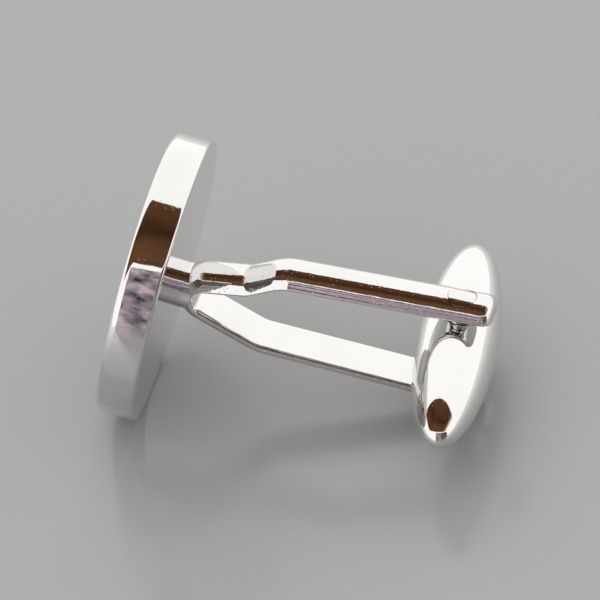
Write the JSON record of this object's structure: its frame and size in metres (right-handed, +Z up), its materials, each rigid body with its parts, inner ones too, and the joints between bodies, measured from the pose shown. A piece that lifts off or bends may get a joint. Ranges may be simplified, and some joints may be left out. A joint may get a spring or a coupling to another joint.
{
  "type": "cufflink",
  "caption": "Polished round cufflink with a cranked two-arm fork and a torpedo bar that swivels on a rivet to pass a buttonhole.",
  "frame": {"origin": "under the middle of the whole object, on the table it lies on", "axes": "+X along the table from the disc to the bar, +Y along the bar when it is crosswise, +Z up; the bar lies 6 degrees from crosswise, as in the picture"},
  "size_m": [0.0226, 0.0162, 0.0158],
  "materials": {
    "disc_plate": "polished plate",
    "stud_plate": "polished plate",
    "fork_plate": "polished plate",
    "rivet_metal": "ground flush and plated",
    "bar_plate": "polished plate",
    "cover_plate": "polished plate",
    "spring_steel": "rolled strip"
  },
  "bodies": {
    "post": {"face_disc": "disc_plate", "base_stud": "stud_plate", "fork": "fork_plate", "pivot_rivet": "rivet_metal"},
    "bar": {"toggle_hull": "bar_plate", "toggle_cover": "cover_plate", "detent_spring": "spring_steel"}
  },
  "joints": [
    {"name": "bar_swivel", "type": "hinge", "parent": "post", "child": "bar", "pos_m": [0.00868, 0, 0.00406], "axis": [0.2109, 0, 0.9775], "range_deg": [-96, 84], "deforming": ["detent_spring"]}
  ]
}
